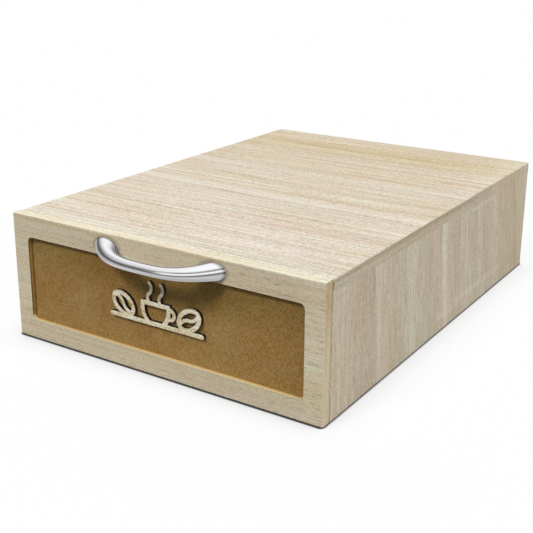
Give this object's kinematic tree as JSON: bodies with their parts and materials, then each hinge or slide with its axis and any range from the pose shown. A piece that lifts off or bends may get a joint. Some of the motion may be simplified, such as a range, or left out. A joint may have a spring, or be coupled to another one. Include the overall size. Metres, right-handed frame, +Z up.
{
  "type": "coffee capsule drawer",
  "caption": "Low wooden box with a full-front drawer, metal bow handle and capsule lanes, made to stand under a coffee machine.",
  "frame": {"origin": "middle of the cabinet's underside, on the surface that it stands on; the drawer front and handle lie outside the cabinet's length", "axes": "+X to the right as seen from the front, +Y to the back, so the drawer opens towards -Y, +Z up"},
  "size_m": [0.27, 0.4009, 0.0985],
  "materials": {
    "top_wood": "bare sanded pale wood, grain left to right",
    "side_wood": "bare sanded pale wood, grain upright",
    "front_wood": "bare sanded pale wood, grain left to right",
    "carcass_wood": "bare sanded pale wood",
    "drawer_wood": "bare sanded pale wood",
    "thin_plywood": "bare thin plywood",
    "fibreboard": "bare brown fibreboard, matte",
    "motif_plywood": "bare plywood cut-out with browned edges",
    "handle_metal": "satin nickel",
    "screw_metal": "zinc plated"
  },
  "bodies": {
    "cabinet": {"top_panel": "top_wood", "left_side_panel": "side_wood", "right_side_panel": "side_wood", "bottom_panel": "carcass_wood", "back_panel": "carcass_wood"},
    "drawer": {"drawer_front_frame": "front_wood", "front_inlay": "fibreboard", "front_motif": "motif_plywood", "handle": "handle_metal", "handle_screws": "screw_metal", "drawer_inner_front": "drawer_wood", "drawer_left_side": "drawer_wood", "drawer_right_side": "drawer_wood", "drawer_back": "drawer_wood", "drawer_bottom": "thin_plywood", "lane_divider_1": "thin_plywood", "lane_divider_2": "thin_plywood", "lane_divider_3": "thin_plywood", "cross_divider": "thin_plywood"}
  },
  "joints": [
    {"name": "drawer_slide", "type": "slide", "parent": "cabinet", "child": "drawer", "axis": [0, -1, 0], "range_m": [0, 0.28]}
  ]
}
